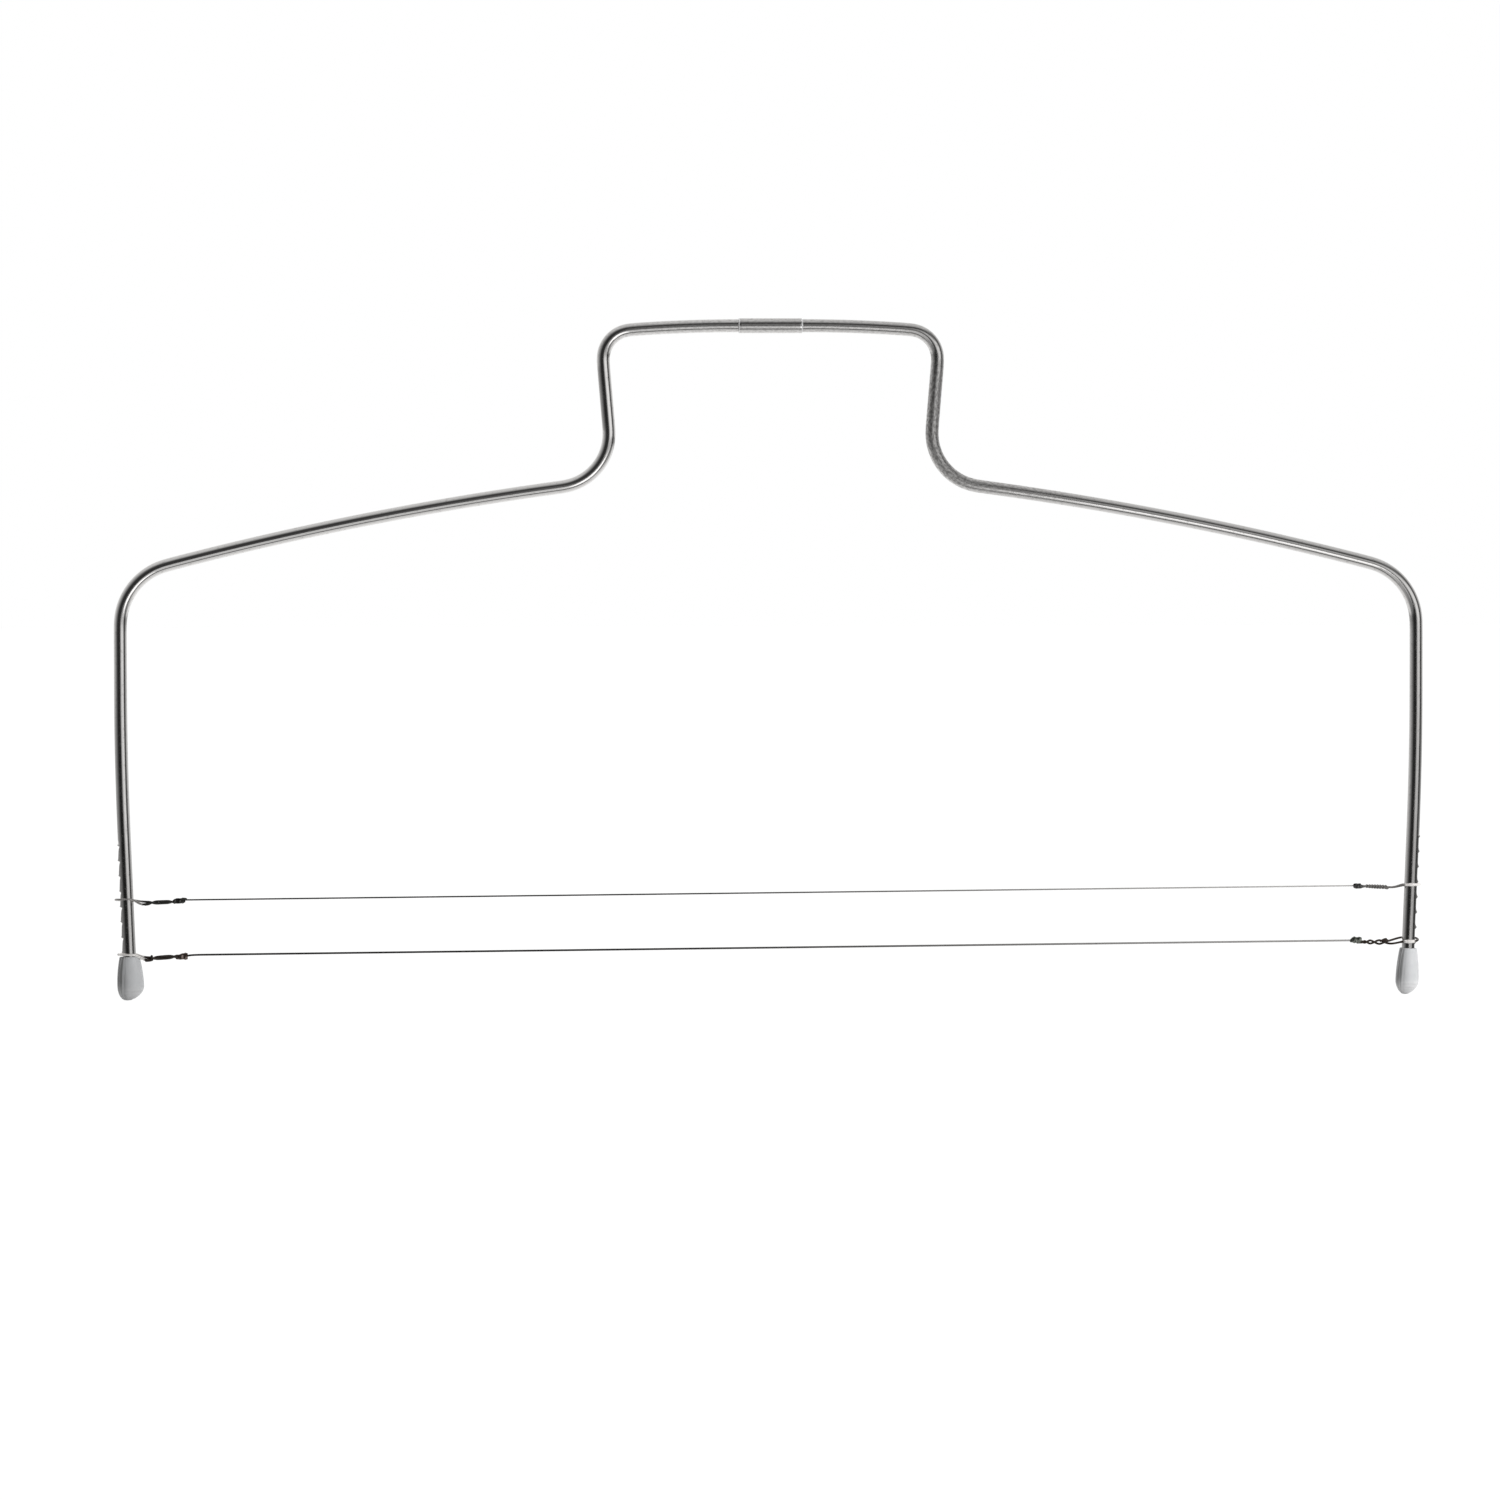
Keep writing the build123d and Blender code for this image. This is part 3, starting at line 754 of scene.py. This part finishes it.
cut_ends = {  # ends that stand off: along the tie, in depth and over the foot, in mm
    "upper_left": [
        [(13.5, -0.5, 0.85), (14.2, -0.6, 1.05), (14.75, -0.6, 1.0), (14.95, -0.55, 0.75)],
        [(5.8, -0.4, -0.20), (5.3, -0.45, -0.30), (4.8, -0.45, -0.38), (4.3, -0.4, -0.42)],
    ],
    "upper_right": [[(7.0, -0.3, 0.1), (6.5, -0.52, -0.15), (6.05, -0.55, -0.28), (5.7, -0.5, -0.02)]],
    "lower_left": [
        [(6.6, -0.35, 0.0), (5.9, -0.5, 0.1), (5.5, -0.45, 0.35), (5.75, -0.35, 0.85)],
        [(5.9, -0.4, -0.2), (5.2, -0.45, -0.42), (4.6, -0.45, -0.48), (3.9, -0.4, -0.52)],
    ],
    "lower_right": [
        [(7.4, -0.35, 0.2), (6.7, -0.5, 0.55), (6.1, -0.5, 0.80), (5.6, -0.45, 0.85)],
        [(6.6, -0.45, 0.30), (6.2, -0.55, 0.48), (5.75, -0.55, 0.55), (5.25, -0.5, 0.50)],
    ],
}


# %% Smooth lines through stations
def ease(value):
    """0 to 1 with level ends: 3v^2 - 2v^3."""
    value = np.clip(value, 0, 1)
    return value * value * (3 - 2 * value)


def bridge(start, start_way, end, end_way, count=16):
    """A cubic from one place and direction to another: the Hermite form."""
    t = np.linspace(0, 1, count)[1:-1, None]
    a, b = 2 * t**3 - 3 * t**2 + 1, t**3 - 2 * t**2 + t
    c, d = -2 * t**3 + 3 * t**2, t**3 - t**2
    size = np.linalg.norm(end - start)
    return a * start + b * start_way * size + c * end + d * end_way * size


def through(points):
    """A smooth line through a few points, each span a bridge along its neighbours' directions."""
    ways = unit(np.gradient(points, axis=0))
    spans = [points[:1]]
    for k in range(len(points) - 1):
        spans += [bridge(points[k], ways[k], points[k + 1], ways[k + 1], 10), points[k + 1:k + 2]]
    return np.concatenate(spans)


# %% One strand of the twist
twist_head, ferrule_middle = 11.8 * mm, 13.2 * mm
longest_crossing, crossing_overlap = 2.6 * mm, 1.3
twist_points = 220


def twist_strand(name, which):
    """One strand of the twist: its place along, in depth and up.

    It circles the middle of the pair at half their spread. The phase is half a turn for each
    crossing passed, eased over the width between crossings.
    """
    tie, cross_at = ties[name], np.array(crossings[name]) * mm
    widths = np.minimum(np.gradient(cross_at), longest_crossing) * crossing_overlap
    along = np.linspace(tie["foot_at"] * mm, twist_head, twist_points)
    phase = sum(ease((along - at) / width + 0.5) for at, width in zip(cross_at, widths))
    phase = np.pi * (phase + which + tie["start"])
    where, spread = np.array(half_spreads[name]).T * mm
    spread = np.interp(along, where, spread)
    share = (along - along[0]) / (along[-1] - along[0])
    up = (tie["foot"] + (tie["head"] - tie["foot"]) * share) * mm + spread * np.sin(phase)
    return np.stack([along, spread * np.cos(phase), up], -1)


# %% The whole tie
def tie_line(name):
    """The tie's wire from the ferrule round the leg and back, and its radius along the way.

    The loop is half a circle on the side of the twist and half an ellipse outside the leg.
    Where it crosses the front of the leg, its radius is scaled by the tie's flare.
    """
    tie = ties[name]
    radius = tie["strand"] * mm
    upper, lower = (twist_strand(name, which) for which in (0, 1))
    opening = math.radians(loop_opening)
    turn = np.linspace(opening, 2 * np.pi - opening, 60)
    inside = rod_radius + loop_play + radius * max(1, tie["flare"])
    along = np.where(np.cos(turn) > 0, inside, tie["reach"] * mm) * np.cos(turn)
    up = tie["loop"] * mm - tie["tilt"] * inside * np.sin(turn)
    loop = np.stack([along, inside * np.sin(turn), up], -1)
    first_way, last_way = (np.array([way * sin(loop_opening), cos(loop_opening), 0]) for way in (-1, 1))
    upper_way, lower_way = unit(upper[0] - upper[3]), unit(lower[3] - lower[0])
    head = np.array([[ferrule_middle, 0, tie["head"] * mm]])
    apart = np.array([[0, 0, radius]])
    parts = [head + apart, upper[::-1], bridge(upper[0], upper_way, loop[0], first_way)]
    parts += [loop, bridge(loop[-1], last_way, lower[0], lower_way), lower, head - apart]
    line = np.concatenate(parts)
    across_front = np.clip(-line[:, 1] / inside, 0, 1) ** 4 * (line[:, 0] < inside)
    return line, radius * (1 + (tie["flare"] - 1) * across_front)


# %% The ties' finish
# On all but the upper left tie the loop's band is pale and barely metallic, a painted highlight.
tie_looks = {  # twist's colour, where the loop's band begins, is full and ends in mm, the band's metal and level
    "upper_left": ((0.03, 0.03, 0.025), (158.0, 158.5, 170), 0.9, 0.42),
    "upper_right": ((0.24, 0.23, 0.22), (160.1, 160.6, 170), 0.2, 0.93),
    "lower_left": ((0.035, 0.025, 0.02), (157.5, 158.1, 164), 0.6, 0.93),
    "lower_right": ((0.045, 0.03, 0.02), (159.8, 160.5, 162.6), 0.2, 0.93),
}
loop_band_fade, oxide_metallic, tie_roughness = 0.5 * mm, 0.2, 0.30


def tie_finish(name):
    """Tie wire: oxidised in the twist, with a band round the leg, dark again on its far side. On all but the
    upper left tie the band is a painted highlight, pale and barely metallic.

    The changes come at distances from the middle of the tool. An oxide isn't a bare metal, so
    the twist is mostly a plain dark surface.
    """
    level, side = name.split("_")
    twist_colour, loop_band_places, loop_metallic, loop_level = tie_looks[name]
    loop_band_from, loop_band_to, far_side = (place * mm for place in loop_band_places)
    tree = Tree(bpy.data.materials.new(f"{side}_{level}_tie_steel"))
    lines = tree.surface_noise(1.5 * mm, 0.12 * mm, 3.0)
    to_right, _, _ = tree.parts(tree.place())
    # Painted highlight where the loop crosses the leg, on all but the upper left tie.
    loop_band = tree.band(to_right * outward[side], loop_band_from, loop_band_to, far_side, far_side + loop_band_fade)
    dark = tree.blend(lines, (*twist_colour, 1), (*(0.5 * part for part in twist_colour), 1))
    colour = tree.blend(loop_band, dark, shade(loop_level, 0.03))
    metallic = loop_band * (loop_metallic - oxide_metallic) + oxide_metallic
    return metal(tree, colour, metallic, (lines - 0.5) * 0.2 + tie_roughness, lines, steel_relief)


# %% Put the ties round the legs
def place_on_leg(name, points):
    """Turn (along the tie, depth, up) into the frame's x, y and z, from the leg's middle."""
    side = name.split("_")[1]
    height = lowest_notch[side] + ties[name]["notch"] * notch_pitch
    x = outward[side] * (leg_x(height + points[:, 2]) - points[:, 0])
    return np.stack([x, points[:, 1], height + points[:, 2]], -1)


for name, tie in ties.items():
    line, radius = tie_line(name)
    skins = [strand(place_on_leg(name, line), radius)]
    for points in cut_ends[name]:
        end_line = through((np.array(points) + [0, 0, tie["foot"]]) * mm)
        skins.append(strand(place_on_leg(name, end_line), tie["strand"] * mm))
    make_piece(f"{name}_tie", skins, f"{name}_tie", f"{name}_hanger", tie_finish(name))

# %% [markdown]
# ## The crimped ferrules
# A ferrule is a soft metal sleeve squeezed over the strands with pliers. The jaws leave flats
# and dents, and no two come out alike. A cylinder with dents carved in would need a boolean for
# each. Here the section is a rounded box whose top, bottom and depth change along its length.

# %% The ferrules' finish
dent_scale, dent_relief = 1500.0, 0.06 * mm


def ferrule_finish(name, high_places, in_dents):
    """Squeezed soft metal: dark in its dents, lighter on its high places."""
    tree = Tree(bpy.data.materials.new(name))
    grain = tree.surface_noise(0.7 * mm, 0.25 * mm, 3.0)
    dents = tree.noise(tree.place(), dent_scale, 2.0)
    colour = tree.blend(tree.step(dents, 0.40, 0.62), (*high_places, 1), (*in_dents, 1))
    return metal(tree, colour, 1.0, (grain - 0.5) * 0.3 + 0.34, grain * 0.5 + dents, dent_relief)


ferrule_looks = {
    "upper_left": ("black_ferrule", (0.10, 0.10, 0.095), (0.025, 0.025, 0.025)),
    "upper_right": ("dark_ferrule", (0.16, 0.16, 0.155), (0.04, 0.04, 0.04)),
    "lower_left": ("brown_ferrule", (0.26, 0.21, 0.19), (0.05, 0.03, 0.025)),
    "lower_right": ("green_grey_ferrule", (0.34, 0.36, 0.32), (0.11, 0.12, 0.10)),
}

# %% The ferrules' shapes
ferrule_start, ferrule_length = 11.6 * mm, 3 * mm
ferrule_columns = 48
section_power = 0.6
end_size, rim_size = 0.5, 0.86  # the ends are closed by a smaller ring, and their rims are rounded
facet_depth, facet_phase = 0.10, 17
ferrule_shares = {  # from the leg's end: where, top, bottom and depth, against its half height
    "upper_left": [
        (-0.05, 0.25, -0.62, 0.6), (0.10, 0.60, -0.80, 0.9), (0.25, 0.85, -0.78, 0.8),
        (0.55, 0.82, -0.75, 1), (0.80, 0.96, -0.66, 0.9), (1, 0.85, -0.45, 0.8),
    ],
    "upper_right": [
        (0, 0.05, -0.35, 0.4), (0.28, 0.30, -0.60, 0.7), (0.42, 0.85, -0.72, 0.9),
        (0.70, 0.76, -0.74, 0.8), (0.92, 0.84, -0.68, 0.95), (1, 0.65, -0.40, 0.85),
    ],
    "lower_left": [
        (0, 0.10, -0.75, 0.5), (0.20, 0.45, -0.95, 0.8), (0.48, 0.85, -0.95, 1),
        (0.62, 0.98, -0.92, 0.8), (0.90, 1.02, -0.95, 0.95), (1, 1, -0.95, 0.85),
    ],
    "lower_right": [
        (0.12, 0.95, -0.55, 0.8), (0.26, 1.15, -0.72, 0.95), (0.5, 1.02, -0.70, 0.8),
        (0.72, 1.20, -0.72, 1), (0.92, 1.05, -0.60, 0.9), (1.10, 0.30, -0.45, 0.6),
    ],
}


def ferrule_skin(name):
    """A rounded box section with dents and faceted sides.

    The section is |cos|^power deep and |sin|^power high, with the sign of the cosine and sine.
    """
    low, high = (np.array(corner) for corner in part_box(f"{name}_ferrule"))
    where, top, bottom, deep = np.array(ferrule_shares[name]).T
    share = np.concatenate([[0, 0, 0.02], np.linspace(0.05, 0.95, 40), [0.98, 1, 1]])
    share = where[0] + (where[-1] - where[0]) * share
    top, bottom = (np.interp(share, where, edge) * (high[2] - low[2]) / 2 for edge in (top, bottom))
    deep = np.interp(share, where, deep) * high[1]
    edge = np.ones(len(share))
    edge[[0, -1]], edge[[1, -2]] = end_size, rim_size
    angle = np.linspace(0, 2 * np.pi, ferrule_columns + 1)
    cosine, sine = np.cos(angle)[:-1], np.sin(angle)[:-1]
    boxy = [np.sign(part) * np.abs(part) ** section_power for part in (cosine, sine)]
    ripple = np.sin(share * facet_phase + len(name))[:, None]
    ripple = ripple * np.cos(2 * angle[:-1] + share[:, None] * 4) ** 2
    marks = edge[:, None] * (1 - facet_depth * ripple)
    middle = (low[2] + high[2] + top + bottom) / 2
    y = deep[:, None] * boxy[0] * marks
    z = middle[:, None] + (top - bottom)[:, None] / 2 * boxy[1] * marks
    side = name.split("_")[1]
    from_middle = leg_x((low[2] + high[2]) / 2) - ferrule_start - ferrule_length * share
    x = outward[side] * from_middle[:, None] + 0 * y
    return skin(np.stack([x, y, z], -1), share * ferrule_length, angle * high[1])


for name, look in ferrule_looks.items():
    skins, finish = [ferrule_skin(name)], ferrule_finish(*look)
    make_piece(f"{name}_crimp", skins, f"{name}_tie", f"{name}_ferrule", finish)

# %% [markdown]
# ## The studio
# Bright metal shows its surroundings more than its own colour. The bow has one broad dark band,
# a bright band and a thin dark line all along it. That fits a white table, a dark room in front
# with a bright wall to its right, and pale walls behind. Cards could stand
# round the object, but the bands lie alike on both legs, so they come from far away, and the
# world itself holds them, by direction. A direction is three numbers from -1 to 1, which say how
# far it goes to the right, to the back and to the top.

# %% The dark front, which brightens to the back and overhead
world = bpy.data.worlds.new("studio")
bpy.context.scene.world = world
room = Tree(world)
to_right, to_back, to_top = room.parts(room.node("ShaderNodeTexCoord", {}, {}, "Generated"))
dark_level, side_level, back_gain = 0.03, 0.40, 0.53
ceiling_gain, overhead_gain = 0.06, 0.20
horizon_dimming = 0.45


def dimmed(light, where, amount):
    """Light that is less by this share of it where the second value is 1."""
    return light * (1 - where * amount)


horizon = room.band(to_top, -0.20, -0.13, -0.045, -0.015)
fade = (to_back * back_gain + side_level).at_least(dimmed(dark_level, horizon, horizon_dimming))
overhead = room.step(to_top, 0.70, 0.90) * room.fall(to_back, 0.0, 0.3)
fade = fade + ceiling_gain * room.step(to_top, 0.3, 1.0) + overhead_gain * overhead

# %% The bright wall and the table
wall_level = 0.92
table_least, table_side, table_gain = 0.60, 0.75, 0.28
wall = room.step(to_right, -0.12, 0.50) * room.fall(to_back, -0.60, -0.32)
light = fade + (wall_level - fade) * (wall * room.fall(to_top, 0.25, 0.6))
light = dimmed(light, horizon, horizon_dimming)
table = (to_back * table_gain + table_side).at_least(table_least)
light = light + (table - light) * room.fall(to_top, -0.22, -0.12)

# %% [markdown]
# Three strips of the room are darker: where the wall on the right ends, low in the front on the
# left, and along the near edge of the table. That edge is straight, so its strip lies round a
# great circle, and a direction is as far off it as its product with the circle's normal says.

# %% Darker strips
wall_end_dimming, left_front_dimming, table_edge_dimming = 0.65, 0.6, 0.75
wall_end = room.band(to_back, -0.50, -0.30, 0.0, 0.35) * room.step(to_right, 0.5, 0.8)
light = dimmed(light, wall_end * room.step(to_top, -0.70, -0.15), wall_end_dimming)
left_front = room.fall(to_right, -0.55, -0.15) * room.fall(to_back, -0.35, 0.05)
under_horizon = room.band(to_top, -0.75, -0.30, -0.20, -0.10)
light = dimmed(light, left_front * under_horizon, left_front_dimming)
off_edge = to_right * 0.24 + to_back * 0.80 - to_top * 0.54
table_edge = room.band(off_edge, -0.20, -0.09, 0.09, 0.20) * room.fall(to_back, -0.35, -0.15)
light = dimmed(light, table_edge, table_edge_dimming)

# %% What the camera and the plastic get from the room
soft_least, soft_gain = 0.20, 0.62
soft_light = soft_least + soft_gain * room.step(to_right, -0.8, 0.9)
by_camera = room.node("ShaderNodeLightPath", {}, {}, "Is Camera Ray")
by_diffuse = room.node("ShaderNodeLightPath", {}, {}, "Is Diffuse Ray")
strength = by_camera + (1 - by_camera) * (light + by_diffuse * (soft_light - light))
backdrop = room.node("ShaderNodeBackground", {}, {"Color": (1, 1, 1, 1), "Strength": strength})
room.node("ShaderNodeOutputWorld", {}, {"Surface": backdrop})

# %% [markdown]
# The floor is white and seems to have no end. It could be lit until it is white, but then the
# object would be lit too strongly. So its material adds light of its own where the camera sees
# it, and the part of it that is lit keeps a soft shadow. Metal reflects the room and not the
# floor, which keeps the bands whole down to the feet.

# %% The floor
floor_size, floor_glow, own_share = 6.0, 1.12, 0.85
floor_mesh = bpy.data.meshes.new("floor")
floor_corners = np.array([(-1, -1, 0), (1, -1, 0), (1, 1, 0), (-1, 1, 0)]) * floor_size
floor_mesh.from_pydata(floor_corners, [], [(0, 1, 2, 3)])
floor = put_in_scene("floor", floor_mesh)
floor.visible_glossy = False
ground = Tree(bpy.data.materials.new("floor_white"))
lit = ground.node("ShaderNodeBsdfDiffuse", {}, {"Color": (0.8, 0.8, 0.8, 1)})
glow = ground.node("ShaderNodeEmission", {}, {"Color": (1, 1, 1, 1), "Strength": floor_glow})
seen_by_camera = ground.node("ShaderNodeLightPath", {}, {}, "Is Camera Ray")
surface = ground.node("ShaderNodeMixShader", {}, {0: seen_by_camera * own_share, 1: lit, 2: glow})
ground.node("ShaderNodeOutputMaterial", {}, {"Surface": surface})
floor_mesh.materials.append(ground.owner)

# %% [markdown]
# Two large lamps light the plastic and the floor: a key from the right and a weaker fill from
# above. The metal doesn't show them, as its bands come from the room. The right shoulder has a
# bright line that this room doesn't give it, so a third lamp, which the metal does show, stands
# as a low card near the object on its right, under the floor that the metal doesn't reflect.

# %% Lamps
def soft_lamp(name, place, aim, size, power, reflected=False):
    """A square lamp that faces the object, in metres and watts. It may be seen in the metal."""
    data = bpy.data.lights.new(name, "AREA")
    data.shape, data.size, data.size_y, data.energy = "RECTANGLE", size, size, power
    lamp = put_in_scene(name, data)
    lamp.location = place
    lamp.rotation_mode = "QUATERNION"
    lamp.rotation_quaternion = (lamp.location - Vector(aim)).to_track_quat("Z", "Y")
    lamp.visible_glossy, lamp.visible_camera = reflected, False


tool_middle, right_shoulder = (0, 0, 0.06), (0.13, 0, 0.11)
soft_lamp("key_from_right", (1.0, -0.8, 0.6), tool_middle, 0.8, 8.0)
soft_lamp("fill_from_above", (-0.1, 0.1, 1.4), tool_middle, 1.2, 5.0)
soft_lamp("low_card_on_right", (0.34, -0.9, -0.30), right_shoulder, 0.5, 0.67, reflected=True)

# %% [markdown]
# ## The camera
# The photograph was taken nearly straight on with a long lens, so the legs look alike and
# hardly converge. The picture is 378 mm wide where the object stands. The camera stands a little
# to the left and above, which was fitted to where the bow stands in the photograph.

# %% Place the camera
distance, sensor_width, picture_width = 1.6, 36.0, 0.37796
azimuth, elevation, roll = math.radians(-2.47), math.radians(2.0), math.radians(0.105)
aim_x, aim_z = -0.00525, 0.06239
camera_data = bpy.data.cameras.new("camera")
camera_data.sensor_width = sensor_width
camera_data.lens = sensor_width * distance / picture_width
camera = put_in_scene("camera", camera_data)
level_distance = distance * math.cos(elevation)
camera.location = (
    aim_x + level_distance * math.sin(azimuth),
    -level_distance * math.cos(azimuth),
    aim_z + distance * math.sin(elevation),
)
camera.rotation_euler = (math.pi / 2 - elevation, roll, azimuth)
bpy.context.scene.camera = camera
bpy.context.scene.view_settings.view_transform = "Standard"
print("lens in mm:", round(camera_data.lens, 1))
